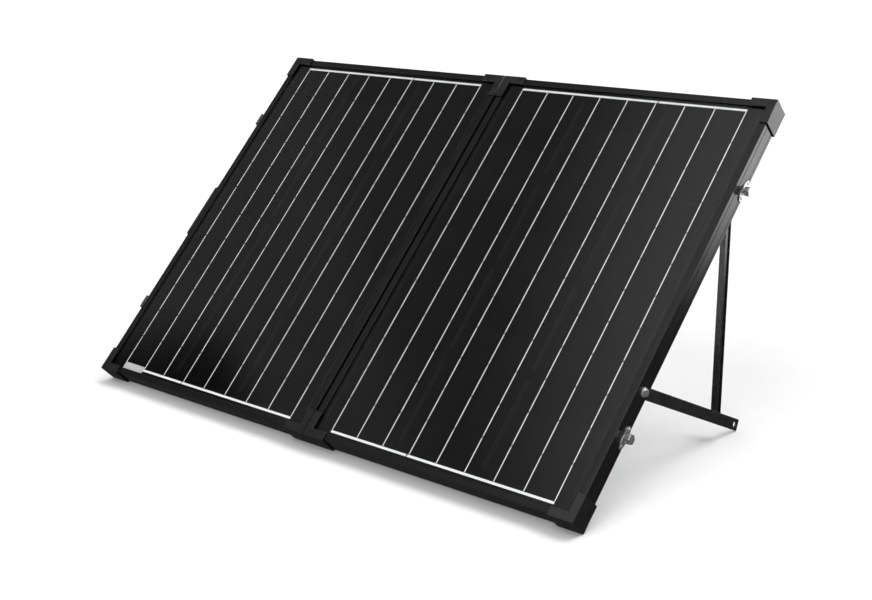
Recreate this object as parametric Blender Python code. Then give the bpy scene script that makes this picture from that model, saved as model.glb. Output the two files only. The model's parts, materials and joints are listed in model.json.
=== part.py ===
"""Folding two-panel solar charger, open and standing on its two rear legs.

Every piece is modelled in the panels' own frame, in metres: X runs across both panels, Y runs up
them from the bottom edge of the frames, and Z is the outward normal, with the front face of the
frames at Z = 0.  One empty then tilts the whole charger back until it stands on its feet.
"""
import math

import bmesh
import bpy
from mathutils import Matrix, Vector

# Driving dimensions of one framed panel
PANEL_WIDTH = 0.4975
PANEL_HEIGHT = 0.695
FRAME_DEPTH = 0.030
HALF_GAP = 0.003            # from the fold line to each frame
OUTER_X = HALF_GAP + PANEL_WIDTH
FIT = 0.0003                # gap between pieces that touch

# Rail: hollow box behind, glass slot in front
RAIL_WIDTH = 0.012
RAIL_WALL = 0.0015
LIP_WIDTH = 0.011
LIP_THICKNESS = 0.0015
SLOT_WALL = 0.002
SLOT_FLOOR = 0.0075
GROOVE_DEPTHS = (0.024, 0.0075)
GROOVE_WIDTH = 0.0012
GROOVE_CUT = 0.0006

# Corner caps
CAP_ARM = 0.040
CAP_LIP = 0.0115
CAP_WALL = 0.0025
CAP_BEVEL = 0.0006

# Laminate: glass, cell layer, backsheet
LAMINATE_INSET = 0.003
GLASS_THICKNESS = 0.0032
CELL_LAYER_THICKNESS = 0.001
BACKSHEET_THICKNESS = 0.0006

# Junction box behind each panel
JUNCTION_SIZE = (0.090, 0.070)
JUNCTION_HEIGHT = 0.014
JUNCTION_WALL = 0.002
JUNCTION_LID = 0.0018
JUNCTION_Y = 0.590
BOARD_MARGIN = 0.004
BOARD_THICKNESS = 0.0016
GLAND_RADIUS = 0.0065
GLAND_BORE = 0.003
GLAND_LENGTH = 0.014

# Fold hinges
FOLD_AXIS_Z = -0.0335
HINGE_YS = (0.120, 0.575)
HINGE_LENGTH = 0.060
HINGE_LEAF = 0.0015
HINGE_LEAF_OUTER = 0.0145
HINGE_LEAF_INNER = 0.0038
KNUCKLE_RADIUS = 0.003
KNUCKLE_LENGTH = 0.018
PIN_RADIUS = 0.0015
PIN_PROUD = 0.001           # past each end of the leaves
RUNNING_GAP = 0.0003

# Rear stand, as (Y, Z) places in the panel's frame
LEG_PIVOT = (0.557, -0.018)
BRACE_PIVOT = (0.2082, -0.0177)
BRACE_LEAN = math.radians(20.05)     # from straight back, towards the top
BRACE_JOINT = 0.266                  # brace pivot to the leg joint
BRACE_HOLE = 0.3085
BRACE_HOLE_RADIUS = 0.0047
BRACE_SOCKET = 0.0022                # depth of the thumb screw's socket, from the inner face
BRACE_LENGTH = 0.3185
BRACE_DEPTH = 0.018
LEG_DEPTH = 0.0142
LEG_WALL = 0.0015
LEG_LIP = 0.006
LEG_HEAD = 0.0071
LEG_TAIL = 0.0052

# Lanes of the stand, measured inwards from a frame's outer face
BRACE_LANE = (0.0125, 0.0155)
NUT_LANE = (0.0158, 0.0198)
BUSH_LANE = (0.0123, 0.0200)
LEG_LANE = (0.0203, 0.0293)
LEG_BOLT_HEAD = (0.0296, 0.0336)
LEG_BOLT_TIP = 0.0085
THUMB_LANE = (0.0296, 0.0410)
THUMB_TIP = 0.0160
BOLT_RADIUS = 0.003
HOLE_RADIUS = BOLT_RADIUS + RUNNING_GAP
FLANGE_RADIUS = 0.0075
FLANGE_THICKNESS = 0.0015
HEX_RADIUS = 0.0057
HEX_HEIGHT = 0.0042
BUSH_RADIUS = 0.006
THUMB_RADIUS = 0.0078
THUMB_LOBES = 8
THUMB_DIP = 0.12            # hollow between lobes, as a share of the radius

# Latches and keepers on the outer sides
LATCH_OFFSET = 0.2055
LATCH_DROP = 0.0026                  # their middle lies this much below the panel's
LATCH_YS = tuple(PANEL_HEIGHT / 2 - LATCH_DROP + way * LATCH_OFFSET for way in (-1, 1))
PLATE_THICKNESS = 0.0015
KEEPER_LENGTH = 0.036
KEEPER_WIDTH = 0.0135
KEEPER_Z = -0.0232
KEEPER_HEAD = 0.0078
KEEPER_NECK = 0.5                    # neck's share of the head
KEEPER_NECK_END = 0.0046
KEEPER_REACH = 0.0122
LEVER_AXIS_Z = -0.0285
LEVER_AXIS_OUT = 0.005
LEVER_HALF_WIDTH = 0.0094
LEVER_LENGTH = 0.025
LEVER_THICKNESS = 0.0015
LATCH_PLATE = (0.017, -0.0315, -0.0125)   # half length along Y, then rear and front Z
EAR = (0.0125, 0.0150)
EAR_RADIUS = 0.0028
LATCH_PIN_RADIUS = 0.0014
BAIL_PIVOT = 0.0034                 # along the lever, from its axis
BAIL_REACH = 0.0251
BAIL_THICKNESS = 0.0022
BAIL_LANE = (0.0099, 0.0121)
BAIL_STUB_RADIUS = 0.0009

# Carry handle
HANDLE_BASE = 0.060
HANDLE_TOP = 0.052
HANDLE_OUT = 0.028
HANDLE_SECTION = 0.011
HANDLE_Z = (-0.031, -0.017)
HANDLE_BEVEL = 0.002

SIDES = {"right": 1, "left": -1}
ROUND = 20


def make_material(name, colour, roughness, metallic=0.0):
    material = bpy.data.materials.new(name)
    material.use_nodes = True
    shader = material.node_tree.nodes["Principled BSDF"]
    shader.inputs["Base Color"].default_value = (*colour, 1.0)
    shader.inputs["Roughness"].default_value = roughness
    shader.inputs["Metallic"].default_value = metallic
    return material


def make_materials():
    return {
        "anodised": make_material("black_anodised", (0.012, 0.012, 0.013), 0.42, 0.6),
        "plastic": make_material("black_plastic", (0.010, 0.010, 0.011), 0.5),
        "glass": make_material("solar_glass", (0.02, 0.022, 0.025), 0.08),
        "cells": make_material("silicon_cells", (0.008, 0.009, 0.012), 0.35),
        "backsheet": make_material("white_backsheet", (0.75, 0.76, 0.77), 0.55),
        "chrome": make_material("bright_steel", (0.62, 0.62, 0.63), 0.18, 1.0),
        "board": make_material("circuit_board", (0.03, 0.12, 0.05), 0.5),
        "paint": make_material("black_paint", (0.011, 0.011, 0.012), 0.38),
    }


def along(axis, distance, first, second):
    """Point at a distance along one axis; the other two coordinates keep their X, Y, Z order."""
    rest = [first, second]
    rest.insert("XYZ".index(axis), distance)
    return Vector(rest)


def loft(stations):
    """Closed solid through matching stations, each a list of loops with the outermost first."""
    mesh = bmesh.new()
    rings = [[[mesh.verts.new(point) for point in loop] for loop in station] for station in stations]
    for near, far in zip(rings, rings[1:]):
        for loop_a, loop_b in zip(near, far):
            count = len(loop_a)
            for i in range(count):
                j = (i + 1) % count
                mesh.faces.new((loop_a[i], loop_a[j], loop_b[j], loop_b[i]))
    for end in (rings[0], rings[-1]):
        edges = []
        for loop in end:
            edges += [mesh.edges.get((a, b)) for a, b in zip(loop, loop[1:] + loop[:1])]
        bmesh.ops.triangle_fill(mesh, use_beauty=True, edges=edges)
    bmesh.ops.recalc_face_normals(mesh, faces=mesh.faces)
    return mesh


def prism(loops, axis, start, end):
    """Straight solid: flat loops carried along an axis."""
    return loft([[[along(axis, at, *point) for point in loop] for loop in loops] for at in (start, end)])


def rectangle(first, second):
    """Loop of a rectangle between two ranges."""
    return [(first[0], second[0]), (first[1], second[0]), (first[1], second[1]), (first[0], second[1])]


def ellipse(radius_a, radius_b, centre=(0.0, 0.0), count=ROUND, turn=0.0):
    """Loop of an ellipse, or of a regular polygon when count is small."""
    angles = [turn + 2 * math.pi * i / count for i in range(count)]
    return [(centre[0] + radius_a * math.cos(a), centre[1] + radius_b * math.sin(a)) for a in angles]


def circle(radius, centre=(0.0, 0.0), count=ROUND):
    return ellipse(radius, radius, centre, count)


def hexagon(radius, centre=(0.0, 0.0)):
    return ellipse(radius, radius, centre, 6, math.pi / 6)


def panel_offset(empty):
    """Place of an empty in the panels' frame."""
    offset = Vector()
    while empty.parent:
        offset += empty.location
        empty = empty.parent
    return offset


def pivot(name, place, parent, turn_x=0.0):
    """Empty on a joint's axis, at a place given in the panels' frame."""
    empty = bpy.data.objects.new(name, None)
    bpy.context.collection.objects.link(empty)
    if parent:
        empty.location = Vector(place) - panel_offset(parent)
        empty.parent = parent
    empty.rotation_euler.x = turn_x
    return empty


def add(name, mesh, material, parent, own_frame=False):
    """Named piece. Its mesh is in the panels' frame, or in its parent's when own_frame is set."""
    data = bpy.data.meshes.new(name)
    mesh.to_mesh(data)
    mesh.free()
    data.shade_smooth()
    data.set_sharp_from_angle(angle=math.radians(35))
    piece = bpy.data.objects.new(name, data)
    bpy.context.collection.objects.link(piece)
    piece.parent = parent
    if not own_frame:
        piece.location = -panel_offset(parent)
    if material:
        data.materials.append(material)
    return piece


def combine(piece, name, mesh, operation):
    """Boolean of a piece with a helper solid that is itself left out of the model."""
    helper = add(name, mesh, None, piece.parent, own_frame=True)
    helper.location = piece.location
    helper.hide_render = True
    helper.display_type = "WIRE"
    step = piece.modifiers.new(name, "BOOLEAN")
    step.operation = operation
    step.object = helper


def bevel(piece, width, segments=1):
    step = piece.modifiers.new("edge", "BEVEL")
    step.width = width
    step.segments = segments
    step.limit_method = "ANGLE"


def corner_frame(left_edge, corner):
    """Frame at a corner: X runs along the next side anticlockwise, and Y points inwards."""
    places = ((0, 0), (PANEL_WIDTH, 0), (PANEL_WIDTH, PANEL_HEIGHT), (0, PANEL_HEIGHT))
    x, y = places[corner]
    turn = Matrix.Rotation(corner * math.pi / 2, 4, "Z")
    return Matrix.Translation((left_edge + x, y, 0)) @ turn


def rail_loops():
    """Rail section as (inwards, normal): the outline with its side grooves, then the hollow."""
    outline = [
        (0, 0), (LIP_WIDTH, 0), (LIP_WIDTH, -LIP_THICKNESS), (SLOT_WALL, -LIP_THICKNESS),
        (SLOT_WALL, -SLOT_FLOOR), (RAIL_WIDTH, -SLOT_FLOOR),
        (RAIL_WIDTH, -FRAME_DEPTH), (0, -FRAME_DEPTH),
    ]
    for depth in GROOVE_DEPTHS:
        rear = -depth - GROOVE_WIDTH / 2
        front = -depth + GROOVE_WIDTH / 2
        outline += [(0, rear), (GROOVE_CUT, rear), (GROOVE_CUT, front), (0, front)]
    across = (RAIL_WALL, RAIL_WIDTH - RAIL_WALL)
    hollow = rectangle(across, (-FRAME_DEPTH + RAIL_WALL, -SLOT_FLOOR - RAIL_WALL))
    return [outline, hollow]


def add_rails(side, left_edge, parent, material):
    """Four rails with mitred ends; the name says which side of the panel each one is."""
    upright = ("outer", "hinge") if side == "right" else ("hinge", "outer")
    names = ("bottom", upright[0], "top", upright[1])
    rails = {}
    for corner, place in enumerate(names):
        length = PANEL_HEIGHT if corner % 2 else PANEL_WIDTH
        mitre = FIT / 2
        near = [[(u + mitre, u, w) for u, w in loop] for loop in rail_loops()]
        far = [[(length - u - mitre, u, w) for u, w in loop] for loop in rail_loops()]
        mesh = loft([near, far])
        mesh.transform(corner_frame(left_edge, corner))
        rails[place] = add(f"{side}_{place}_rail", mesh, material, parent)
    return rails


def add_caps(side, left_edge, parent, material):
    """Four corner caps: a channel that wraps the frame and turns the corner with a mitre."""
    front = CAP_WALL
    rear = -FRAME_DEPTH - CAP_WALL
    section = [
        (-CAP_WALL, front), (CAP_LIP, front), (CAP_LIP, FIT), (-FIT, FIT),
        (-FIT, -FRAME_DEPTH - FIT), (CAP_LIP, -FRAME_DEPTH - FIT), (CAP_LIP, rear), (-CAP_WALL, rear),
    ]
    across = ("hinge", "outer") if side == "right" else ("outer", "hinge")
    names = (f"bottom_{across[0]}", f"bottom_{across[1]}", f"top_{across[1]}", f"top_{across[0]}")
    for corner, place in enumerate(names):
        first_arm = [[(CAP_ARM, u, w) for u, w in section]]
        turn = [[(u, u, w) for u, w in section]]
        second_arm = [[(u, CAP_ARM, w) for u, w in section]]
        mesh = loft([first_arm, turn, second_arm])
        mesh.transform(corner_frame(left_edge, corner))
        cap = add(f"{side}_{place}_cap", mesh, material, parent)
        bevel(cap, CAP_BEVEL)


def add_laminate(side, left_edge, parent, materials):
    """Glass, cell layer and backsheet, stacked in the rails' slot."""
    x_range = (left_edge + LAMINATE_INSET, left_edge + PANEL_WIDTH - LAMINATE_INSET)
    outline = rectangle(x_range, (LAMINATE_INSET, PANEL_HEIGHT - LAMINATE_INSET))
    front = -LIP_THICKNESS - FIT
    layers = (
        ("glass", GLASS_THICKNESS, "glass"),
        ("cell_layer", CELL_LAYER_THICKNESS, "cells"),
        ("backsheet", BACKSHEET_THICKNESS, "backsheet"),
    )
    for name, thickness, material in layers:
        mesh = prism([outline], "Z", front - thickness, front)
        add(f"{side}_{name}", mesh, materials[material], parent)
        front -= thickness + FIT


def add_junction_box(side, left_edge, parent, materials):
    """Box on the backsheet: open tray, lid, terminal board with the diodes, and a cable gland."""
    middle_x = left_edge + PANEL_WIDTH / 2
    half_x, half_y = JUNCTION_SIZE[0] / 2, JUNCTION_SIZE[1] / 2

    def footprint(reach_x, reach_y):
        x_range = (middle_x - reach_x, middle_x + reach_x)
        return rectangle(x_range, (JUNCTION_Y - reach_y, JUNCTION_Y + reach_y))

    outer = footprint(half_x, half_y)
    floor = -SLOT_FLOOR
    rim = floor - JUNCTION_HEIGHT
    base = add(f"{side}_junction_base", prism([outer], "Z", rim, floor), materials["plastic"], parent)
    inside = footprint(half_x - JUNCTION_WALL, half_y - JUNCTION_WALL)
    well = prism([inside], "Z", rim - JUNCTION_WALL, floor - JUNCTION_WALL)
    combine(base, f"{side}_junction_well", well, "DIFFERENCE")

    board = footprint(half_x - BOARD_MARGIN, half_y - BOARD_MARGIN)
    top = floor - JUNCTION_WALL - FIT
    mesh = prism([board], "Z", top - BOARD_THICKNESS, top)
    board = add(f"{side}_terminal_board", mesh, materials["board"], parent)
    for index in (-1, 0, 1):
        place = middle_x + index * 0.022
        block = rectangle((place - 0.006, place + 0.006), (JUNCTION_Y - 0.012, JUNCTION_Y + 0.012))
        solid = prism([block], "Z", top - 0.009, top - BOARD_THICKNESS / 2)
        combine(board, f"{side}_terminal_{index + 2}", solid, "UNION")

    lid = prism([outer], "Z", rim - FIT - JUNCTION_LID, rim - FIT)
    bevel(add(f"{side}_junction_lid", lid, materials["plastic"], parent), 0.0008)

    centre = (middle_x, floor - JUNCTION_HEIGHT / 2)
    end = JUNCTION_Y - half_y - FIT
    gland_loops = [hexagon(GLAND_RADIUS, centre), circle(GLAND_BORE, centre, 6)]
    gland = prism(gland_loops, "Y", end - GLAND_LENGTH, end)
    add(f"{side}_cable_gland", gland, materials["plastic"], parent)


def leaf_loops(sign):
    """Section of a hinge leaf that wraps its knuckle: the outline, then the pin's bore."""
    front = -FRAME_DEPTH - FIT
    rear = front - HINGE_LEAF
    start = math.asin((rear - FOLD_AXIS_Z) / KNUCKLE_RADIUS)
    sweep = start + 3 * math.pi / 2
    outline = [(HINGE_LEAF_OUTER, front), (HINGE_LEAF_OUTER, rear)]
    for i in range(ROUND + 1):
        angle = start - sweep * i / ROUND
        height = FOLD_AXIS_Z + KNUCKLE_RADIUS * math.sin(angle)
        outline.append((KNUCKLE_RADIUS * math.cos(angle), height))
    bore = circle(PIN_RADIUS + RUNNING_GAP, (0.0, FOLD_AXIS_Z))
    return [[(sign * x, z) for x, z in loop] for loop in (outline, bore)]


def add_hinge(name, centre_y, root, left_panel, materials):
    """Butt hinge on the frames' rear faces: two leaves with interlocking knuckles, and their pin."""
    half = HINGE_LENGTH / 2
    middle = half - KNUCKLE_LENGTH
    past = half + KNUCKLE_LENGTH
    notches = {
        "right": ((-middle - RUNNING_GAP, middle + RUNNING_GAP),),
        "left": ((-past, -middle), (middle, past)),
    }
    notch_z = (FOLD_AXIS_Z - 2 * KNUCKLE_RADIUS, FOLD_AXIS_Z + 2 * KNUCKLE_RADIUS)
    for side, sign in SIDES.items():
        parent = root if sign > 0 else left_panel
        plate = prism(leaf_loops(sign), "Y", centre_y - half, centre_y + half)
        leaf = add(f"{name}_hinge_{side}_leaf", plate, materials["anodised"], parent)
        notch_loop = rectangle((-sign * 2 * KNUCKLE_RADIUS, sign * HINGE_LEAF_INNER), notch_z)
        for number, (start, end) in enumerate(notches[side]):
            notch = prism([notch_loop], "Y", centre_y + start, centre_y + end)
            combine(leaf, f"{name}_{side}_notch_{number}", notch, "DIFFERENCE")
    pin_half = half + PIN_PROUD
    pin = prism([circle(PIN_RADIUS, (0.0, FOLD_AXIS_Z))], "Y", centre_y - pin_half, centre_y + pin_half)
    add(f"{name}_hinge_pin", pin, materials["chrome"], root)


def brace_direction():
    """Unit (Y, Z) direction of the open brace in the panel's frame."""
    return math.sin(BRACE_LEAN), -math.cos(BRACE_LEAN)


def leg_geometry():
    """Length of the leg from pivot to brace joint, and its angle from the folded place."""
    along_y, along_z = brace_direction()
    joint_y = BRACE_PIVOT[0] + BRACE_JOINT * along_y
    joint_z = BRACE_PIVOT[1] + BRACE_JOINT * along_z
    down = LEG_PIVOT[0] - joint_y
    back = LEG_PIVOT[1] - joint_z
    return math.hypot(down, back), math.atan2(back, down)


def add_brace(side, sign, pivot_empty, materials):
    """Flat bar with a round head at its pivot and a square foot; its own frame has +Y along it."""
    half = BRACE_DEPTH / 2
    head = [(half * math.cos(a), half * math.sin(a)) for a in
            (math.pi / 2 + math.pi * i / 8 for i in range(9))]
    outline = head + [(BRACE_LENGTH, -half), (BRACE_LENGTH, half)]
    holes = [circle(HOLE_RADIUS, (0.0, 0.0), 12), circle(BRACE_HOLE_RADIUS, (BRACE_HOLE, 0.0), 16)]
    lane = [-sign * u for u in BRACE_LANE]
    bar = prism([outline, *holes], "X", *lane)
    brace = add(f"{side}_brace", bar, materials["paint"], pivot_empty, True)
    deep, past = BRACE_LANE[1] - BRACE_SOCKET, BRACE_LANE[1] + BRACE_SOCKET
    socket = prism([circle(HOLE_RADIUS, (BRACE_JOINT, 0.0), 12)], "X", -sign * deep, -sign * past)
    combine(brace, f"{side}_brace_socket", socket, "DIFFERENCE")


def add_leg(side, sign, pivot_empty, materials):
    """Channel, open outwards, with a lip on its front flange; its own frame has -Y along it."""
    length, _ = leg_geometry()
    half = LEG_DEPTH / 2
    mouth, back = LEG_LANE
    section = [
        (mouth, half), (back, half), (back, -half), (mouth, -half), (mouth, LEG_WALL - half),
        (back - LEG_WALL, LEG_WALL - half), (back - LEG_WALL, half - LEG_WALL),
        (mouth + LEG_WALL, half - LEG_WALL), (mouth + LEG_WALL, half - LEG_LIP), (mouth, half - LEG_LIP),
    ]
    channel = prism([[(-sign * u, w) for u, w in section]], "Y", LEG_HEAD, -length - LEG_TAIL)
    leg = add(f"{side}_leg", channel, materials["paint"], pivot_empty, True)
    for number, place in enumerate((0.0, -length)):
        hole = prism([circle(HOLE_RADIUS, (place, 0.0), 12)], "X", -sign * 0.015, -sign * 0.036)
        combine(leg, f"{side}_leg_hole_{number}", hole, "DIFFERENCE")
    return length


def add_stand(side, sign, panel, outer_rail, materials):
    """Leg, brace and their fasteners on one panel."""
    side_x = sign * OUTER_X
    _, leg_angle = leg_geometry()
    leg_pivot = pivot(f"{side}_leg_pivot", (side_x, *LEG_PIVOT), panel, leg_angle)
    brace_pivot = pivot(f"{side}_brace_pivot", (side_x, *BRACE_PIVOT), panel, BRACE_LEAN - math.pi / 2)
    add_brace(side, sign, brace_pivot, materials)
    length = add_leg(side, sign, leg_pivot, materials)

    def bar(loops, start, end):
        return prism(loops, "X", side_x - sign * start, side_x - sign * end)

    def drill(place, start, end, name):
        combine(outer_rail, name, bar([circle(HOLE_RADIUS, place, 12)], start, end), "DIFFERENCE")

    drill(BRACE_PIVOT, -0.005, RAIL_WIDTH + 0.005, f"{side}_brace_bore")
    drill(LEG_PIVOT, RAIL_WIDTH / 2, RAIL_WIDTH + 0.005, f"{side}_leg_bore")

    bolt = add(f"{side}_brace_bolt", bar([circle(BOLT_RADIUS, BRACE_PIVOT)], -0.001, NUT_LANE[1]),
               materials["chrome"], panel)
    flange = bar([circle(FLANGE_RADIUS, BRACE_PIVOT)], -FIT, -FIT - FLANGE_THICKNESS)
    combine(bolt, f"{side}_bolt_flange", flange, "UNION")
    hex_start = -FIT - FLANGE_THICKNESS / 2
    head = bar([hexagon(HEX_RADIUS, BRACE_PIVOT)], hex_start, hex_start - HEX_HEIGHT)
    combine(bolt, f"{side}_bolt_hex", head, "UNION")
    nut = bar([hexagon(HEX_RADIUS, BRACE_PIVOT), circle(HOLE_RADIUS, BRACE_PIVOT, 12)], *NUT_LANE)
    add(f"{side}_brace_nut", nut, materials["chrome"], panel)

    bush = bar([circle(BUSH_RADIUS, LEG_PIVOT), circle(HOLE_RADIUS, LEG_PIVOT)], *BUSH_LANE)
    add(f"{side}_leg_bush", bush, materials["plastic"], panel)
    shank = bar([circle(BOLT_RADIUS, LEG_PIVOT)], LEG_BOLT_TIP, LEG_BOLT_HEAD[1] - 0.001)
    leg_bolt = add(f"{side}_leg_bolt", shank, materials["chrome"], panel)
    head = bar([hexagon(HEX_RADIUS, LEG_PIVOT)], *LEG_BOLT_HEAD)
    combine(leg_bolt, f"{side}_leg_bolt_hex", head, "UNION")

    screw_pivot = bpy.data.objects.new(f"{side}_thumb_screw_axis", None)
    bpy.context.collection.objects.link(screw_pivot)
    screw_pivot.parent = leg_pivot
    screw_pivot.location.y = -length
    shank = prism([circle(BOLT_RADIUS)], "X", -sign * THUMB_TIP, -sign * (THUMB_LANE[1] - 0.001))
    screw = add(f"{side}_thumb_screw", shank, materials["plastic"], screw_pivot, True)
    knob_loop = []
    for i in range(2 * THUMB_LOBES):
        radius = THUMB_RADIUS * (1.0 - THUMB_DIP * (i % 2))
        angle = math.pi * i / THUMB_LOBES
        knob_loop.append((radius * math.cos(angle), radius * math.sin(angle)))
    knob = prism([knob_loop], "X", -sign * THUMB_LANE[0], -sign * THUMB_LANE[1])
    combine(screw, f"{side}_thumb_knob", knob, "UNION")


def add_keeper(name, centre_y, parent, materials):
    """Oval plate with a hexagonal head on a neck, which the latch's bail hooks behind."""
    start = OUTER_X + FIT
    centre = (centre_y, KEEPER_Z)
    oval = ellipse(KEEPER_LENGTH / 2, KEEPER_WIDTH / 2, centre, 28)
    plate = add(name, prism([oval], "X", start, start + PLATE_THICKNESS), materials["chrome"], parent)
    for part, share, low, high in (
        ("neck", KEEPER_NECK, start + PLATE_THICKNESS / 2, OUTER_X + KEEPER_NECK_END),
        ("head", 1.0, OUTER_X + KEEPER_NECK_END - FIT, OUTER_X + KEEPER_REACH),
    ):
        outline = ellipse(share * KEEPER_HEAD, share * KEEPER_HEAD, centre, 6)
        combine(plate, f"{name}_{part}", prism([outline], "X", low, high), "UNION")


def add_latch(name, centre_y, parent, materials):
    """Draw latch: base with ears and pin, lever folded flat, bail laid back around the lever."""
    side_x = -OUTER_X
    start = side_x - FIT
    half_y, rear, front = LATCH_PLATE
    plate = rectangle((centre_y - half_y, centre_y + half_y), (rear, front))
    plate = prism([plate], "X", start, start - PLATE_THICKNESS)
    base = add(f"{name}_base", plate, materials["chrome"], parent)
    axis_x = side_x - LEVER_AXIS_OUT
    ear_loop = [(start - PLATE_THICKNESS / 2, LEVER_AXIS_Z + EAR_RADIUS),
                (start - PLATE_THICKNESS / 2, LEVER_AXIS_Z - EAR_RADIUS)]
    ear_loop += [(axis_x - EAR_RADIUS * math.sin(a), LEVER_AXIS_Z - EAR_RADIUS * math.cos(a))
                 for a in (math.pi * i / 6 for i in range(7))]
    for sign in (-1, 1):
        lane = [centre_y + sign * at for at in EAR]
        combine(base, f"{name}_ear_{sign + 2}", prism([ear_loop], "Y", *lane), "UNION")
    pin = prism([circle(LATCH_PIN_RADIUS, (axis_x, LEVER_AXIS_Z), 12)], "Y",
                centre_y - EAR[1] - 0.0005, centre_y + EAR[1] + 0.0005)
    combine(base, f"{name}_pin", pin, "UNION")

    lever_pivot = pivot(f"{name}_lever_axis", (axis_x, centre_y, LEVER_AXIS_Z), parent)
    lever = add(f"{name}_lever", prism([circle(EAR_RADIUS)], "Y", -LEVER_HALF_WIDTH, LEVER_HALF_WIDTH),
                materials["chrome"], lever_pivot, True)
    blade_x = (-LEVER_THICKNESS / 2, LEVER_THICKNESS / 2)
    blade = prism([rectangle(blade_x, (0.0, LEVER_LENGTH))], "Y", -LEVER_HALF_WIDTH, LEVER_HALF_WIDTH)
    combine(lever, f"{name}_blade", blade, "UNION")
    stub = prism([circle(BAIL_STUB_RADIUS, (0.0, BAIL_PIVOT), 10)], "Y", -BAIL_LANE[1], BAIL_LANE[1])
    combine(lever, f"{name}_stub", stub, "UNION")
    bore = prism([circle(LATCH_PIN_RADIUS + RUNNING_GAP, (0.0, 0.0), 12)], "Y", -0.02, 0.02)
    combine(lever, f"{name}_bore", bore, "DIFFERENCE")

    bail_place = (axis_x, centre_y, LEVER_AXIS_Z + BAIL_PIVOT)
    bail_pivot = pivot(f"{name}_bail_axis", bail_place, lever_pivot)
    half = BAIL_THICKNESS / 2
    outer, inner = BAIL_LANE[1], BAIL_LANE[0]
    near, far = -half, BAIL_REACH
    loop = [(-outer, near), (-inner, near), (-inner, far - BAIL_THICKNESS), (inner, far - BAIL_THICKNESS),
            (inner, near), (outer, near), (outer, far), (-outer, far)]
    bail = add(f"{name}_bail", prism([loop], "X", -half, half), materials["chrome"], bail_pivot, True)
    eye = prism([circle(BAIL_STUB_RADIUS + RUNNING_GAP / 2, (0.0, 0.0), 10)], "Y", -0.02, 0.02)
    combine(bail, f"{name}_eyes", eye, "DIFFERENCE")


def add_handle(parent, materials):
    """One moulded bow, open for the fingers."""
    middle = PANEL_HEIGHT / 2
    foot = -OUTER_X - FIT
    top = -OUTER_X - HANDLE_OUT
    under = top + HANDLE_SECTION
    slant = (HANDLE_BASE - HANDLE_TOP) / HANDLE_OUT
    inner_base = HANDLE_BASE - HANDLE_SECTION
    inner_top = inner_base - slant * (HANDLE_OUT - HANDLE_SECTION)
    loop = [
        (foot, middle - HANDLE_BASE), (top, middle - HANDLE_TOP), (top, middle + HANDLE_TOP),
        (foot, middle + HANDLE_BASE), (foot, middle + inner_base), (under, middle + inner_top),
        (under, middle - inner_top), (foot, middle - inner_base),
    ]
    handle = add("carry_handle", prism([loop], "Z", *HANDLE_Z), materials["plastic"], parent)
    bevel(handle, HANDLE_BEVEL, 2)


def stand_tilt():
    """Angle at which the bottom caps' rear edge and the braces' feet share one floor."""
    along_y, along_z = brace_direction()
    half = BRACE_DEPTH / 2
    foot_y = BRACE_PIVOT[0] + BRACE_LENGTH * along_y + half * along_z
    foot_z = BRACE_PIVOT[1] + BRACE_LENGTH * along_z - half * along_y
    cap_y = -CAP_WALL
    cap_z = -FRAME_DEPTH - CAP_WALL
    return math.atan2(cap_z - foot_z, foot_y - cap_y)


def stand_on_origin(root):
    """Move the charger so that the origin is the bottom centre of its box."""
    bpy.context.view_layer.update()
    depsgraph = bpy.context.evaluated_depsgraph_get()
    points = []
    for piece in bpy.data.objects:
        if piece.type == "MESH" and not piece.hide_render:
            shape = piece.evaluated_get(depsgraph)
            points += [piece.matrix_world @ vertex.co for vertex in shape.data.vertices]
    low = [min(point[axis] for point in points) for axis in range(3)]
    high = [max(point[axis] for point in points) for axis in range(3)]
    root.location = (-(low[0] + high[0]) / 2, -(low[1] + high[1]) / 2, -low[2])


def main():
    for leftover in list(bpy.data.objects):
        bpy.data.objects.remove(leftover)
    materials = make_materials()
    root = pivot("charger_stand", (0, 0, 0), None)
    fold = pivot("fold_axis", (0, 0, FOLD_AXIS_Z), root)
    panels = {"right": root, "left": fold}
    for side, sign in SIDES.items():
        panel = panels[side]
        left_edge = HALF_GAP if sign > 0 else -OUTER_X
        rails = add_rails(side, left_edge, panel, materials["anodised"])
        add_caps(side, left_edge, panel, materials["plastic"])
        add_laminate(side, left_edge, panel, materials)
        add_junction_box(side, left_edge, panel, materials)
        add_stand(side, sign, panel, rails["outer"], materials)
    for name, centre_y in zip(("lower", "upper"), HINGE_YS):
        add_hinge(name, centre_y, root, fold, materials)
    for name, centre_y in zip(("lower", "upper"), LATCH_YS):
        add_keeper(f"{name}_keeper", centre_y, root, materials)
        add_latch(f"{name}_latch", centre_y, fold, materials)
    add_handle(fold, materials)
    root.rotation_euler.x = stand_tilt()
    stand_on_origin(root)


main()
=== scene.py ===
"""Looks of the folding two-panel solar charger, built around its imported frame.

Pieces are made in the panels' own frame, in metres: X runs across both panels, Y runs up them from
the bottom edge of the frames, and Z is the outward normal, with the front of the frames at Z = 0.
"""
import json
import math

import bmesh
import bpy
from mathutils import Matrix, Vector

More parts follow.
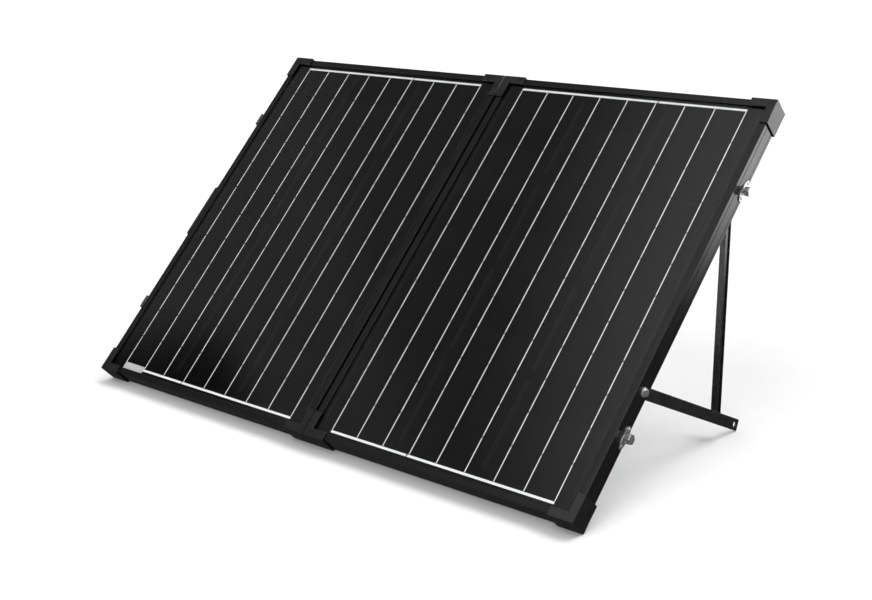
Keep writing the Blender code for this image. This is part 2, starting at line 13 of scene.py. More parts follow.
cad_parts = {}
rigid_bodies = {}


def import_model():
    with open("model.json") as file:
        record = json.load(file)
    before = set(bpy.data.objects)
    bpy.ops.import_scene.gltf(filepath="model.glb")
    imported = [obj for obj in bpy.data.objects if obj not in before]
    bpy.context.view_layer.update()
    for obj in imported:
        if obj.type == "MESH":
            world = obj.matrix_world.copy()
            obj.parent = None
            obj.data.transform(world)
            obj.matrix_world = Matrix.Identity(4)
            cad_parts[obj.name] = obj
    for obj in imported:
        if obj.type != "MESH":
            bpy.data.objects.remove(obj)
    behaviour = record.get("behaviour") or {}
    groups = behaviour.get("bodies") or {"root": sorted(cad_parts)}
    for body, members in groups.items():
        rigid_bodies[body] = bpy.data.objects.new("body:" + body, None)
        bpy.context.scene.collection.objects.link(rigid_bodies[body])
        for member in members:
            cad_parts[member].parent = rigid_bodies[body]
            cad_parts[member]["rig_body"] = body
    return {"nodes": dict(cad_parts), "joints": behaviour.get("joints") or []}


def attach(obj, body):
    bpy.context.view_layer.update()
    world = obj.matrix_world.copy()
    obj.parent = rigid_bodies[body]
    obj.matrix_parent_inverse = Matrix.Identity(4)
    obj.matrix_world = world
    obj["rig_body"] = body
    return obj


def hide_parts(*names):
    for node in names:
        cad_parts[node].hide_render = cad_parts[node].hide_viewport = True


# Camera: place in metres, turn in degrees, lens in millimetres
CAMERA_PLACE = (1.4771, -1.6125, 0.8461)
CAMERA_TURN = (72.718, 1.9525, 40.877)
CAMERA_LENS = 58.14

# Frame facts that place the looks
FOLD_AXIS_DEPTH = 0.0335
SIDES = {"right": 1, "left": -1}
LEVELS = ("lower", "upper")
GROOVES = (-0.024, -0.0075)
GROOVE_REACH = 0.0008

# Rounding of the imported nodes' hard edges
RAIL_EDGE = 0.0004
BAR_EDGE = 0.0004
KNOB_EDGE = 0.0005
BOX_EDGE = 0.0005
BOLT_EDGE = 0.0003
THIN_EDGE = 0.0002
EDGE_SEGMENTS = 2
SHARP_ANGLE = math.radians(30)
FLAT_ANGLE = math.radians(1)
MERGE_DISTANCE = 0.00001

# Cells: three columns of twelve cut strips, each strip a third of one wafer
COLUMNS = (-1, 0, 1)
ROWS = 12
STRIPS_PER_WAFER = 3
COLUMN_PITCH = 0.155
ROW_PITCH = 0.054
CELL_SIZE = (0.151, 0.0525)
WAFER_CORNER = 0.009
CELL_THICKNESS = 0.0002

# Busbars and end ribbons
LINES = range(-4, 5)
LINE_PITCH = COLUMN_PITCH / 3
LINE_WIDTH = 0.0014
LINE_THICKNESS = 0.00015
LINE_BREAK = 0.0026
RIBBON_WIDTH = 0.0038
RIBBON_PLACE = 0.3295
RIBBON_BREAK = 0.0035
RIBBON_GAP = 0.0008             # between a busbar's end and the ribbon
LINE_REACH = RIBBON_PLACE - RIBBON_WIDTH / 2 - RIBBON_GAP
RIBBON_CUT = LINE_PITCH + 0.003
RIBBON_CUTS = {1: RIBBON_CUT, -1: -RIBBON_CUT}      # end of the panel, and where its ribbon is broken

# Label: its middle from the left panel's middle, and from the frames' bottom edge
LABEL_SIZE = (0.051, 0.015)
LABEL_ACROSS = -3.5 * LINE_PITCH - 0.001
LABEL_UP = 0.0165

# Heights of the layers under the glass
SHEET_FRONT = -0.0058
CELL_FRONT = -0.0055
LINE_FRONT = -0.0053
LABEL_FRONT = -0.0052

# Screw heads: the pan's profile and the cross recess, for a head of unit radius
PAN_PROFILE = ((1.0, 0.0), (1.0, 0.16), (0.86, 0.36), (0.55, 0.46), (0.0, 0.5))
PAN_STEPS = 24
PAN_MERGE = 0.001
CROSS_LENGTH = 1.1
CROSS_WIDTH = 0.2
CROSS_FLOOR = 0.2
CROSS_TOP = 1.0

# Where the screws stand
KEEPER_PLATE = 0.0015
KEEPER_Z = -0.0232
KEEPER_SCREW_REACH = 0.0130
KEEPER_SCREW_RADIUS = 0.0024
HINGE_SCREW_REACH = 0.022
HINGE_SCREW_INSET = 0.0046
HINGE_SCREW_RADIUS = 0.0022
HINGE_LEAF_REAR = -0.0318
LID_INSET = 0.006
LID_SCREW_RADIUS = 0.0026

# Colours: one, or the darker and the lighter of a pair
ANODISED_BLACKS = ((0.006, 0.006, 0.0062), (0.009, 0.009, 0.0093))
CAP_BLACK = (0.008, 0.008, 0.0084)
PLASTIC_BLACK = (0.009, 0.009, 0.0095)
PAINT_BLACKS = ((0.008, 0.008, 0.0085), (0.016, 0.016, 0.017))
STEEL_GREYS = ((0.58, 0.58, 0.59), (0.80, 0.80, 0.81))
GLASS_TINT = (0.97, 0.985, 0.98)
CELL_BLACKS = ((0.0008, 0.0008, 0.0010), (0.0014, 0.0014, 0.0016))
STREAK_GREY = (0.02, 0.02, 0.021)
# Grey of the painted highlight along the cells' side edges
CELL_EDGE_HIGHLIGHT_GREY = (0.05, 0.05, 0.053)
BUSBAR_WHITE = (0.94, 0.94, 0.94)
RIBBON_WHITE = (0.96, 0.96, 0.96)
FILM_BLACKS = ((0.001, 0.001, 0.0011), (0.0016, 0.0016, 0.0017))
BACKSHEET_WHITES = ((0.70, 0.71, 0.72), (0.78, 0.79, 0.80))
BOARD_GREENS = ((0.015, 0.08, 0.03), (0.03, 0.12, 0.05))
LABEL_GREYS = ((0.42, 0.42, 0.42), (0.62, 0.62, 0.62))
FLOOR_WHITES = ((0.88, 0.88, 0.88), (0.92, 0.92, 0.92))

# Shares shared by the materials
NOISE_MIDDLE = (0.3, 0.7)       # most of a noise lies in this range
PLAIN_SHEEN = 0.5
LAMINATED_SHEEN = 0.04          # little is mirrored where the encapsulant wets a surface
MOULDED_LIFT = 1.5              # lighter patches of a moulded colour
TIN_DULLING = 0.85              # darker patches of a tinned colour
# Reach of the painted highlight along the cells' side edges
CELL_HIGHLIGHT_FADE = (0.0004, 0.0009)     # where the paler rim starts to fade, and where it ends

# Direct light: strength, spread in degrees, and where each sun stands
SUNS = {
    "key": (1.6, 45, (0.25, 0.45, 1.0)),
    "fill": (0.9, 40, (-0.1, -0.8, 1.0)),
}

# Surround: its level as light, and what gloss mirrors of it by the height and depth of a direction
AMBIENT_LEVEL = 0.6
MIRROR_LEVEL = 0.47
MIRROR_BASE = 0.20
BOX_SLANT = 0.33                # rise of the soft box's lower edge with depth
BOX_HEIGHTS = (0.835, 0.93)
BOX_GLOW = 0.75
BAND_HEIGHTS = (0.725, 0.685)
BAND_GLOW = 0.10
CORNER_HEIGHTS = (0.645, 0.615)
CORNER_DEPTHS = (-0.235, -0.29)
CORNER_LOSS = 0.27

# Floor, and the glowing card on it that only reflections see, a painted shade near the charger and a
# painted bright reflection further out: where the card's glow changes, and its level inside and outside
# that
FLOOR_REACH = 25.0
CARD_RADIUS = 6.0
CARD_SEGMENTS = 64
CARD_FADE = (1.05, 2.3)
CARD_LEVELS = (0.04, 2.2)
CARD_LIFT = 0.0005

# Sockets of a colour mix node
MIX_FACTOR = 0
MIX_FIRST = 6
MIX_SECOND = 7
MIX_RESULT = 2

stand = Matrix.Identity(4)      # panels' frame to the world, set once the frame is loaded
frame = {}


class Graph:
    """Node tree with short calls for its nodes."""

    def __init__(self, tree):
        self.tree = tree
        self.nodes = tree.nodes

    def set(self, node, values):
        """Fill a node's inputs with numbers, or link them to sockets."""
        for name, value in values.items():
            if isinstance(value, bpy.types.NodeSocket):
                self.tree.links.new(value, node.inputs[name])
            else:
                node.inputs[name].default_value = value

    def node(self, kind, values=None, **settings):
        made = self.nodes.new(kind)
        for name, value in settings.items():
            setattr(made, name, value)
        self.set(made, values or {})
        return made

    def place(self, scale=(1.0, 1.0, 1.0)):
        """Place on the piece, in metres, with each axis scaled."""
        source = self.node("ShaderNodeTexCoord").outputs["Object"]
        return self.node("ShaderNodeMapping", {"Vector": source, "Scale": scale}).outputs["Vector"]

    def split(self, vector):
        """Sockets of a vector's three parts."""
        return self.node("ShaderNodeSeparateXYZ", {"Vector": vector}).outputs

    def noise(self, scale, stretch=(1.0, 1.0, 1.0), detail=3.0):
        values = {"Vector": self.place(stretch), "Scale": scale, "Detail": detail}
        return self.node("ShaderNodeTexNoise", values).outputs["Fac"]

    def math(self, operation, first, second=0.0):
        return self.node("ShaderNodeMath", {0: first, 1: second}, operation=operation).outputs["Value"]

    def ramp(self, value, source, target):
        """Value carried from one range to another, clamped and eased."""
        limits = {"From Min": source[0], "From Max": source[1], "To Min": target[0], "To Max": target[1]}
        made = self.node("ShaderNodeMapRange", {"Value": value, **limits}, interpolation_type="SMOOTHSTEP")
        return made.outputs["Result"]

    def blend(self, factor, first, second):
        """Colour between two others, each given as numbers or as a socket."""
        values = {MIX_FACTOR: factor}
        for socket, colour in ((MIX_FIRST, first), (MIX_SECOND, second)):
            linked = isinstance(colour, bpy.types.NodeSocket)
            values[socket] = colour if linked else (*colour, 1.0)
        return self.node("ShaderNodeMix", values, data_type="RGBA").outputs[MIX_RESULT]


class Finish(Graph):
    """Material whose surface is one shader."""

    def __init__(self, name, metallic=0.0):
        self.material = bpy.data.materials.new(name)
        self.material.use_nodes = True
        super().__init__(self.material.node_tree)
        self.shader = self.nodes["Principled BSDF"]
        self.shade({"Metallic": metallic})

    def shade(self, values):
        self.set(self.shader, values)

    def bump(self, height, distance):
        made = self.node("ShaderNodeBump", {"Height": height, "Distance": distance, "Strength": 1.0})
        self.shade({"Normal": made.outputs["Normal"]})

    def show(self, surface):
        """Surface put in the shader's place."""
        self.set(self.nodes["Material Output"], {"Surface": surface})


def anodised(name, along):
    """Black anodised extrusion: fine die lines along one axis, and faint cloudy sheen."""
    finish = Finish(name)
    stretch = [6.0 if axis == along else 900.0 for axis in "XYZ"]
    lines = finish.noise(1.0, stretch, detail=4.0)
    clouds = finish.noise(14.0)
    line_roughness = finish.ramp(lines, NOISE_MIDDLE, (0.13, 0.20))
    cloud_roughness = finish.ramp(clouds, NOISE_MIDDLE, (0.0, 0.06))
    finish.shade({
        "Base Color": finish.blend(clouds, *ANODISED_BLACKS),
        "Roughness": finish.math("ADD", line_roughness, cloud_roughness),
        "Specular IOR Level": 0.55,
        "Coat Weight": 0.3,
        "Coat Roughness": 0.12,
    })
    finish.bump(lines, distance=0.00003)
    return finish.material


def moulded(name, colour, roughness, sheen=0.0):
    """Black moulded plastic with a spark-eroded grain."""
    finish = Finish(name)
    fine = finish.noise(1600.0, detail=5.0)
    broad = finish.noise(25.0)
    light = tuple(MOULDED_LIFT * part for part in colour)
    grain = finish.math("ADD", fine, broad)
    finish.shade({
        "Base Color": finish.blend(broad, colour, light),
        "Roughness": finish.ramp(grain, (0.7, 1.3), (roughness - 0.06, roughness + 0.08)),
        "Coat Weight": sheen,
        "Coat Roughness": roughness,
    })
    finish.bump(fine, distance=0.00004)
    return finish.material


def powder_coat():
    """Black paint with a soft orange peel."""
    finish = Finish("black_paint")
    peel = finish.noise(500.0, detail=2.0)
    rub = finish.noise(40.0, detail=4.0)
    finish.shade({
        "Base Color": finish.blend(rub, *PAINT_BLACKS),
        "Roughness": finish.ramp(rub, NOISE_MIDDLE, (0.2, 0.3)),
        "Specular IOR Level": 0.9,
        "Coat Weight": 0.9,
        "Coat Roughness": 0.15,
    })
    finish.bump(peel, distance=0.00006)
    return finish.material


def bright_steel():
    """Nickel-plated steel with fine rubbing marks."""
    finish = Finish("bright_steel", metallic=0.85)
    marks = finish.noise(1.0, (2500.0, 300.0, 2500.0))
    stains = finish.noise(220.0, detail=4.0)
    finish.shade({
        "Base Color": finish.blend(stains, *STEEL_GREYS),
        "Roughness": finish.ramp(stains, NOISE_MIDDLE, (0.08, 0.2)),
    })
    finish.bump(marks, distance=0.00001)
    return finish.material


def solar_glass():
    """Clear low-iron glass with a trace of haze; light passes to the cells unshadowed."""
    finish = Finish("solar_glass")
    haze = finish.noise(9.0, detail=1.0)
    finish.shade({
        "Base Color": (*GLASS_TINT, 1.0),
        "Roughness": finish.ramp(haze, NOISE_MIDDLE, (0.004, 0.012)),
        "Transmission Weight": 1.0,
        "IOR": 1.5,
    })
    clear = finish.node("ShaderNodeBsdfTransparent").outputs[0]
    shadow = finish.node("ShaderNodeLightPath").outputs["Is Shadow Ray"]
    glass = finish.shader.outputs[0]
    finish.show(finish.node("ShaderNodeMixShader", {0: shadow, 1: glass, 2: clear}).outputs[0])
    return finish.material


def silicon():
    """Monocrystalline cell: near-black, each its own tone, faint streaks, and a painted highlight at its
    sides, a paler rim standing in for light caught by its edges.
    """
    finish = Finish("silicon_cells")
    parts = finish.split(finish.place())
    across, up = parts["X"], parts["Y"]
    column = finish.math("ROUND", finish.math("DIVIDE", across, COLUMN_PITCH))
    row = finish.math("FLOOR", finish.math("DIVIDE", up, ROW_PITCH))
    cell = finish.node("ShaderNodeCombineXYZ", {"X": column, "Y": row}).outputs["Vector"]
    tone = finish.node("ShaderNodeTexWhiteNoise", {"Vector": cell}, noise_dimensions="2D").outputs["Value"]
    streaks = finish.ramp(finish.noise(1.0, (90.0, 12.0, 1.0)), (0.4, 0.7), (0.0, 0.06))
    printed = finish.blend(streaks, finish.blend(tone, *CELL_BLACKS), STREAK_GREY)
    offset = finish.math("SUBTRACT", across, finish.math("MULTIPLY", column, COLUMN_PITCH))
    rim = finish.math("SUBTRACT", CELL_SIZE[0] / 2, finish.math("ABSOLUTE", offset))
    # Painted highlight: a paler rim along each cell's sides, for light caught by its edges
    edge_highlight_mask = finish.ramp(rim, CELL_HIGHLIGHT_FADE, (0.55, 0.0))
    finish.shade({
        "Base Color": finish.blend(edge_highlight_mask, printed, CELL_EDGE_HIGHLIGHT_GREY),
        "Roughness": finish.ramp(tone, (0.0, 1.0), (0.28, 0.4)),
        "Specular IOR Level": LAMINATED_SHEEN,
    })
    finish.bump(finish.noise(25.0, detail=1.0), distance=0.00002)
    return finish.material


def tinned_copper(name, colour, roughness):
    """Soldered ribbon: bright tin with small ripples."""
    finish = Finish(name, metallic=0.1)
    ripple = finish.noise(350.0)
    dull = tuple(TIN_DULLING * part for part in colour)
    finish.shade({
        "Base Color": finish.blend(ripple, dull, colour),
        "Roughness": finish.ramp(ripple, NOISE_MIDDLE, (roughness - 0.1, roughness + 0.1)),
    })
    finish.bump(ripple, distance=0.00004)
    return finish.material


def sheet_material(name, colours, roughness, sheen=PLAIN_SHEEN):
    """Film or sheet with a very fine weave showing through."""
    finish = Finish(name)
    weave = finish.noise(900.0, detail=2.0)
    cloud = finish.noise(12.0)
    finish.shade({
        "Base Color": finish.blend(cloud, *colours),
        "Roughness": finish.ramp(weave, NOISE_MIDDLE, (roughness - 0.07, roughness + 0.07)),
        "Specular IOR Level": sheen,
    })
    finish.bump(weave, distance=0.00003)
    return finish.material


def label_paper():
    """Blank silvered label with a soft sheen and faint creases, whose light and shade are painted into its
    grey.
    """
    finish = Finish("blank_label")
    crease_and_shade = finish.noise(90.0, detail=4.0)
    # Painted light and shade: the grey follows the creases
    finish.shade({"Base Color": finish.blend(crease_and_shade, *LABEL_GREYS), "Roughness": 0.45})
    finish.bump(crease_and_shade, distance=0.0001)
    return finish.material


def make_materials():
    return {
        "anodised_x": anodised("black_anodised_across", "X"),
        "anodised_y": anodised("black_anodised_upright", "Y"),
        "cap": moulded("corner_cap_plastic", CAP_BLACK, roughness=0.3, sheen=0.4),
        "plastic": moulded("black_plastic", PLASTIC_BLACK, roughness=0.42),
        "paint": powder_coat(),
        "steel": bright_steel(),
        "glass": solar_glass(),
        "cells": silicon(),
        "busbar": tinned_copper("tinned_busbar", BUSBAR_WHITE, roughness=0.5),
        "ribbon": tinned_copper("tinned_ribbon", RIBBON_WHITE, roughness=0.55),
        "film": sheet_material("black_film", FILM_BLACKS, roughness=0.4, sheen=LAMINATED_SHEEN),
        "backsheet": sheet_material("white_backsheet", BACKSHEET_WHITES, roughness=0.5),
        "board": sheet_material("circuit_board", BOARD_GREENS, roughness=0.5),
        "label": label_paper(),
    }


def local_box(name):
    """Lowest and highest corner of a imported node, in the panels' frame."""
    inverse = stand.inverted()
    points = [inverse @ vertex.co for vertex in frame["nodes"][name].data.vertices]
    low = Vector(min(point[axis] for point in points) for axis in range(3))
    high = Vector(max(point[axis] for point in points) for axis in range(3))
    return low, high


def put(name, mesh, material, body, base, replaced=()):
    """Piece from a mesh in its own frame, which base carries to the world."""
    data = bpy.data.meshes.new(name)
    mesh.to_mesh(data)
    mesh.free()
    data.shade_smooth()
    data.set_sharp_from_angle(angle=SHARP_ANGLE)
    data.materials.append(material)
    piece = bpy.data.objects.new(name, data)
    bpy.context.scene.collection.objects.link(piece)
    piece.matrix_world = base
    piece.modifiers.new("shading", "WEIGHTED_NORMAL").keep_sharp = True
    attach(piece, body)
    if replaced:
        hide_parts(*replaced)


def node_mesh(name, base):
    """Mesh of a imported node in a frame, with its triangles joined into clean faces."""
    mesh = bmesh.new()
    mesh.from_mesh(frame["nodes"][name].data)
    mesh.transform(base.inverted())
    bmesh.ops.remove_doubles(mesh, verts=mesh.verts, dist=MERGE_DISTANCE)
    bmesh.ops.dissolve_limit(mesh, angle_limit=FLAT_ANGLE, verts=mesh.verts, edges=mesh.edges)
    return mesh


def in_groove(edge):
    """True on the small edges of a rail's side grooves."""
    places = [vertex.co.z for vertex in edge.verts]
    return any(all(abs(place - groove) < GROOVE_REACH for place in places) for groove in GROOVES)


def soften(name, width, material, base=None, skip=None):
    """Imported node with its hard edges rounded; a width of nothing leaves them as they are."""
    base = base or stand
    mesh = node_mesh(name, base)
    edges = [edge for edge in mesh.edges if len(edge.link_faces) == 2
             and edge.calc_face_angle() > SHARP_ANGLE and not (skip and skip(edge))]
    if width:
        bmesh.ops.bevel(mesh, geom=edges, offset=width, segments=EDGE_SEGMENTS, profile=0.5,
                        affect="EDGES", clamp_overlap=True)
    body = frame["nodes"][name]["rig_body"]
    put(f"{name}_finished", mesh, material, body, base, (name,))


def add_prism(mesh, outline, rear, front):
    """Closed upright solid over an outline of (X, Y) points."""
    low = [mesh.verts.new((x, y, rear)) for x, y in outline]
    high = [mesh.verts.new((x, y, front)) for x, y in outline]
    mesh.faces.new(high)
    mesh.faces.new(reversed(low))
    for i in range(len(outline)):
        j = (i + 1) % len(outline)
        mesh.faces.new((low[i], low[j], high[j], high[i]))


def block(mesh, centre, size, rear, front):
    """Closed box given by its centre and size across the panel."""
    x, y = centre
    half_x, half_y = size[0] / 2, size[1] / 2
    corners = [(x + side * half_x, y + end * half_y) for side, end in ((-1, -1), (1, -1), (1, 1), (-1, 1))]
    add_prism(mesh, corners, rear, front)


def cell_outline(x, y, cut_low, cut_high):
    """Outline of one strip; a strip at a wafer's end has that end's corners cut."""
    half_x, half_y = CELL_SIZE[0] / 2, CELL_SIZE[1] / 2
    low = WAFER_CORNER if cut_low else 0.0
    high = WAFER_CORNER if cut_high else 0.0
    points = []
    for sign_x, sign_y, corner in ((-1, -1, low), (1, -1, low), (1, 1, high), (-1, 1, high)):
        corner_x, corner_y = x + sign_x * half_x, y + sign_y * half_y
        near_end = (corner_x - sign_x * corner, corner_y)
        near_side = (corner_x, corner_y - sign_y * corner)
        if not corner:
            points.append((corner_x, corner_y))
        elif sign_x == sign_y:
            points += [near_side, near_end]
        else:
            points += [near_end, near_side]
    return points


def add_line(mesh, centre, size):
    """One flat strip of tinned copper on the cells."""
    block(mesh, centre, size, LINE_FRONT - LINE_THICKNESS, LINE_FRONT)


def build_cells(side, materials):
    """Black film, cells, busbars and end ribbons of one panel, about the panel's centre."""
    body = frame["nodes"][f"{side}_glass"]["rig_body"]
    low, high = local_box(f"{side}_cell_layer")
    size = high - low
    base = stand @ Matrix.Translation(((low.x + high.x) / 2, (low.y + high.y) / 2, 0.0))
    film = bmesh.new()
    block(film, (0.0, 0.0), size.xy, low.z, SHEET_FRONT)
    put(f"{side}_film", film, materials["film"], body, base, (f"{side}_cell_layer",))

    cells = bmesh.new()
    busbars = bmesh.new()
    for row in range(ROWS):
        y = (row - (ROWS - 1) / 2) * ROW_PITCH
        cut_low = row % STRIPS_PER_WAFER == 0
        cut_high = row % STRIPS_PER_WAFER == STRIPS_PER_WAFER - 1
        for column in COLUMNS:
            outline = cell_outline(column * COLUMN_PITCH, y, cut_low, cut_high)
            add_prism(cells, outline, CELL_FRONT - CELL_THICKNESS, CELL_FRONT)
        low_end = -LINE_REACH if row == 0 else y - (ROW_PITCH - LINE_BREAK) / 2
        high_end = LINE_REACH if row == ROWS - 1 else y + (ROW_PITCH - LINE_BREAK) / 2
        for line in LINES:
            middle = (line * LINE_PITCH, (low_end + high_end) / 2)
            add_line(busbars, middle, (LINE_WIDTH, high_end - low_end))
    put(f"{side}_cells", cells, materials["cells"], body, base)
    put(f"{side}_busbars", busbars, materials["busbar"], body, base)

    ribbons = bmesh.new()
    first, last = LINES[0] * LINE_PITCH, LINES[-1] * LINE_PITCH
    for end, cut_place in RIBBON_CUTS.items():
        for start, stop in ((first, cut_place - RIBBON_BREAK / 2), (cut_place + RIBBON_BREAK / 2, last)):
            middle = ((start + stop) / 2, end * RIBBON_PLACE)
            add_line(ribbons, middle, (stop - start + LINE_WIDTH, RIBBON_WIDTH))
    put(f"{side}_ribbons", ribbons, materials["ribbon"], body, base)


def build_label(materials):
    """Blank label under the glass at the left panel's bottom edge."""
    low, high = local_box("left_cell_layer")
    place = ((low.x + high.x) / 2 + LABEL_ACROSS, LABEL_UP, 0.0)
    label = bmesh.new()
    block(label, (0.0, 0.0), LABEL_SIZE, LINE_FRONT, LABEL_FRONT)
    put("left_label", label, materials["label"], "left_panel", stand @ Matrix.Translation(place))


def cut(mesh, tool):
    """Mesh less another, both used up."""
    holders = []
    for name, part in (("kept", mesh), ("tool", tool)):
        data = bpy.data.meshes.new(name)
        part.to_mesh(data)
        part.free()
        holder = bpy.data.objects.new(name, data)
        bpy.context.scene.collection.objects.link(holder)
        holders.append(holder)
    kept, taken = holders
    step = kept.modifiers.new("cut", "BOOLEAN")
    step.operation = "DIFFERENCE"
    step.object = taken
    step.use_self = True
    result = bmesh.new()
    result.from_object(kept, bpy.context.evaluated_depsgraph_get())
    for holder in holders:
        bpy.data.objects.remove(holder)
    return result


def screw_mesh():
    """Pan head of unit radius, standing along Z, with a cross recess."""
    head = bmesh.new()
    spine = [head.verts.new((radius, 0.0, height)) for radius, height in PAN_PROFILE]
    edges = [head.edges.new(pair) for pair in zip(spine, spine[1:])]
    bmesh.ops.spin(head, geom=spine + edges, axis=(0, 0, 1), cent=(0, 0, 0), steps=PAN_STEPS,
                   angle=2 * math.pi, use_duplicate=False)
    bmesh.ops.remove_doubles(head, verts=head.verts, dist=PAN_MERGE)
    rim = [edge for edge in head.edges if len(edge.link_faces) == 1]
    bmesh.ops.contextual_create(head, geom=rim)
    bmesh.ops.recalc_face_normals(head, faces=head.faces)
    cross = bmesh.new()
    for size in ((CROSS_LENGTH, CROSS_WIDTH), (CROSS_WIDTH, CROSS_LENGTH)):
        block(cross, (0.0, 0.0), size, CROSS_FLOOR, CROSS_TOP)
    return cut(head, cross)


def add_screw(name, head, place, facing, radius, body, material):
    """Screw head at a place in the panels' frame, facing along a direction there."""
    turn = Vector(facing).to_track_quat("Z", "Y").to_matrix().to_4x4()
    base = stand @ Matrix.Translation(place) @ turn
    put(name, head.copy(), material, body, base @ Matrix.Scale(radius, 4))


def screw_keeper(level, head, steel):
    low, high = local_box(f"{level}_keeper")
    for number, way in enumerate((-1, 1)):
        place = (low.x + KEEPER_PLATE, (low.y + high.y) / 2 + way * KEEPER_SCREW_REACH, KEEPER_Z)
        name = f"{level}_keeper_screw_{number + 1}"
        add_screw(name, head, place, (1, 0, 0), KEEPER_SCREW_RADIUS, "right_panel", steel)


def screw_hinge(level, side, head, steel):
    low, high = local_box(f"{level}_hinge_{side}_leaf")
    x = high.x - HINGE_SCREW_INSET if side == "right" else low.x + HINGE_SCREW_INSET
    for number, way in enumerate((-1, 0, 1)):
        place = (x, (low.y + high.y) / 2 + way * HINGE_SCREW_REACH, HINGE_LEAF_REAR)
        name = f"{level}_hinge_{side}_screw_{number + 1}"
        add_screw(name, head, place, (0, 0, -1), HINGE_SCREW_RADIUS, f"{side}_panel", steel)


def screw_lid(side, head, steel):
    low, high = local_box(f"{side}_junction_lid")
    corners = [(x, y) for x in (low.x + LID_INSET, high.x - LID_INSET)
               for y in (low.y + LID_INSET, high.y - LID_INSET)]
    for number, (x, y) in enumerate(corners):
        name = f"{side}_lid_screw_{number + 1}"
        add_screw(name, head, (x, y, low.z), (0, 0, -1), LID_SCREW_RADIUS, f"{side}_panel", steel)


def build_screws(materials):
    """Screws of the keepers, hinges and junction box lids."""
    head = screw_mesh()
    for level in LEVELS:
        screw_keeper(level, head, materials["steel"])
        for side in SIDES:
            screw_hinge(level, side, head, materials["steel"])
    for side in SIDES:
        screw_lid(side, head, materials["steel"])
    head.free()


def dress_frame(side, materials):
    """Rails and caps of one panel."""
    for place, along in (("bottom", "x"), ("top", "x"), ("outer", "y"), ("hinge", "y")):
        material = materials[f"anodised_{along}"]
        soften(f"{side}_{place}_rail", RAIL_EDGE, material, skip=in_groove)
    for end in ("bottom", "top"):
        for place in ("hinge", "outer"):
            soften(f"{side}_{end}_{place}_cap", 0.0, materials["cap"])


def dress_fittings(side, materials):
    """Everything else that rides on one panel or its stand."""
    glass = frame["nodes"][f"{side}_glass"].data
    glass.materials.clear()
    glass.materials.append(materials["glass"])
    for part, finish, width in (
        ("backsheet", "backsheet", 0.0),
        ("terminal_board", "board", BOLT_EDGE),
        ("junction_base", "plastic", BOX_EDGE),
        ("junction_lid", "plastic", 0.0),
        ("cable_gland", "plastic", BOX_EDGE),
        ("brace_bolt", "steel", BOLT_EDGE),
        ("brace_nut", "steel", BOLT_EDGE),
        ("leg_bush", "plastic", BOLT_EDGE),
        ("leg_bolt", "steel", BOLT_EDGE),
    ):
        soften(f"{side}_{part}", width, materials[finish])
    for part, finish, width in (
        ("leg", "paint", BAR_EDGE),
        ("brace", "paint", BAR_EDGE),
        ("thumb_screw", "plastic", KNOB_EDGE),
    ):
        soften(f"{side}_{part}", width, materials[finish], Matrix.Identity(4))


def dress_hardware(materials):
    """Hinges, keepers, latches and the handle."""
    steel = materials["steel"]
    for level in LEVELS:
        for part in ("hinge_left_leaf", "hinge_right_leaf"):
            soften(f"{level}_{part}", THIN_EDGE, materials["anodised_y"])
        for part in ("hinge_pin", "keeper"):
            soften(f"{level}_{part}", BOLT_EDGE, steel)
        for part in ("latch_base", "latch_lever", "latch_bail"):
            soften(f"{level}_{part}", THIN_EDGE, steel)
    soften("carry_handle", 0.0, materials["plastic"])


def build_camera():
    camera = bpy.data.objects.new("camera", bpy.data.cameras.new("camera"))
    camera.location = CAMERA_PLACE
    camera.rotation_euler = [math.radians(angle) for angle in CAMERA_TURN]
    camera.data.lens = CAMERA_LENS
    bpy.context.scene.collection.objects.link(camera)
    bpy.context.scene.camera = camera


def build_world():
    """Studio surround: even as light, and mirrored as a soft box with darker bands below it."""
    world = bpy.data.worlds.new("studio")
    bpy.context.scene.world = world
    world.use_nodes = True
    graph = Graph(world.node_tree)
    parts = graph.split(graph.node("ShaderNodeTexCoord").outputs["Generated"])
    height, depth = parts["Z"], parts["Y"]

    box_height = graph.math("SUBTRACT", height, graph.math("MULTIPLY", depth, BOX_SLANT))
    box = graph.ramp(box_height, BOX_HEIGHTS, (0.0, BOX_GLOW))
    band = graph.ramp(height, BAND_HEIGHTS, (0.0, BAND_GLOW))
    low_down = graph.ramp(height, CORNER_HEIGHTS, (0.0, 1.0))
    corner = graph.math("MULTIPLY", low_down, graph.ramp(depth, CORNER_DEPTHS, (0.0, CORNER_LOSS)))
    glow = graph.math("ADD", graph.math("ADD", box, band), MIRROR_BASE)
    mirrored = graph.math("MULTIPLY", graph.math("SUBTRACT", glow, corner), MIRROR_LEVEL)

    scattered = graph.node("ShaderNodeLightPath").outputs["Diffuse Depth"]
    mix = graph.node("ShaderNodeMix", {"Factor": scattered, "A": mirrored, "B": AMBIENT_LEVEL})
    white = (1.0, 1.0, 1.0, 1.0)
    graph.set(graph.nodes["Background"], {"Color": white, "Strength": mix.outputs["Result"]})


def stage_piece(name, mesh, material):
    """Flat piece of the stage from a mesh, which is used up."""
    data = bpy.data.meshes.new(name)
    mesh.to_mesh(data)
    mesh.free()
    data.materials.append(material)
    piece = bpy.data.objects.new(name, data)
    bpy.context.scene.collection.objects.link(piece)
    return piece


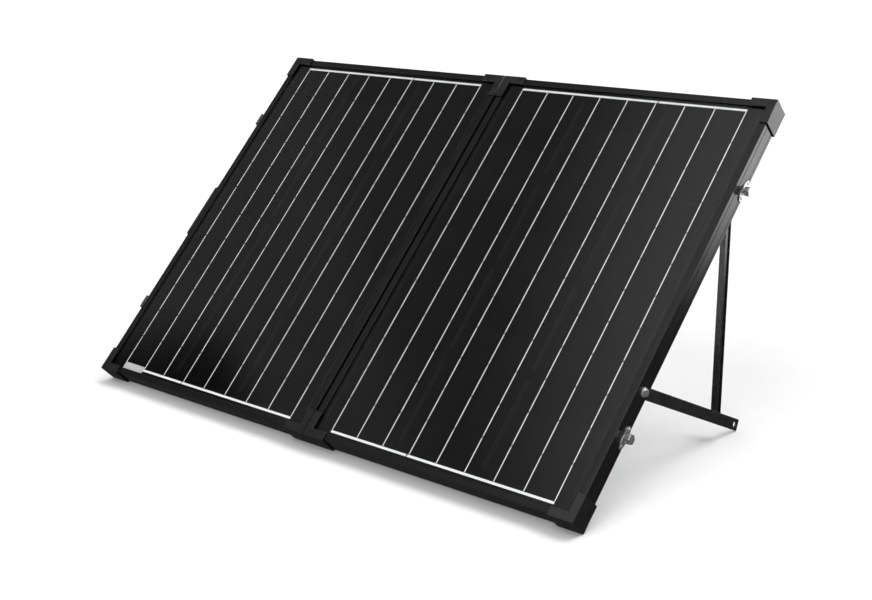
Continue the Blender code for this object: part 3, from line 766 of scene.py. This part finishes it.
def build_floor():
    """Pale matt floor."""
    mesh = bmesh.new()
    bmesh.ops.create_grid(mesh, x_segments=1, y_segments=1, size=FLOOR_REACH)
    stage_piece("floor", mesh, sheet_material("pale_floor", FLOOR_WHITES, roughness=0.6, sheen=0.0))


def build_shade_and_glow_card():
    """Glowing card on the floor that only reflections see: dark near the charger as a painted shade of the
    floor's shadow, and bright further out as a painted reflection.
    """
    finish = Finish("shade_and_glow_card")
    reach = finish.node("ShaderNodeVectorMath", {0: finish.place()}, operation="LENGTH").outputs["Value"]
    # Painted shade near the charger, painted bright reflection further out
    glow = finish.node("ShaderNodeEmission", {"Strength": finish.ramp(reach, CARD_FADE, CARD_LEVELS)})
    finish.show(glow.outputs[0])
    mesh = bmesh.new()
    bmesh.ops.create_circle(mesh, cap_ends=True, segments=CARD_SEGMENTS, radius=CARD_RADIUS)
    card = stage_piece("shade_and_glow_card", mesh, finish.material)
    card.location.z = CARD_LIFT
    card.visible_camera = False
    card.visible_diffuse = False
    card.visible_transmission = False
    card.visible_shadow = False


def build_suns():
    """Two soft suns, each pointing from its place to the middle."""
    for name, (strength, spread, place) in SUNS.items():
        light = bpy.data.lights.new(name, "SUN")
        light.energy = strength
        light.angle = math.radians(spread)
        sun = bpy.data.objects.new(name, light)
        sun.rotation_euler = (-Vector(place)).to_track_quat("-Z", "Y").to_euler()
        bpy.context.scene.collection.objects.link(sun)


def stand_matrix():
    """Matrix from the panels' frame to the world, from the fold joint's axis."""
    fold = next(joint for joint in frame["joints"] if joint["name"] == "suitcase_fold")
    across = Vector((1.0, 0.0, 0.0))
    up = -Vector(fold["axis"]).normalized()
    out = across.cross(up)
    matrix = Matrix((across, up, out)).transposed().to_4x4()
    matrix.translation = Vector(fold["pos_m"]) + FOLD_AXIS_DEPTH * out
    return matrix


for leftover in list(bpy.data.objects):
    bpy.data.objects.remove(leftover)
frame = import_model()
bpy.context.view_layer.update()
stand = stand_matrix()

materials = make_materials()
for side in SIDES:
    dress_frame(side, materials)
    dress_fittings(side, materials)
    build_cells(side, materials)
build_label(materials)
dress_hardware(materials)
build_screws(materials)

build_camera()
build_world()
build_floor()
build_shade_and_glow_card()
build_suns()
bpy.context.scene.view_settings.view_transform = "Standard"

bpy.context.view_layer.update()
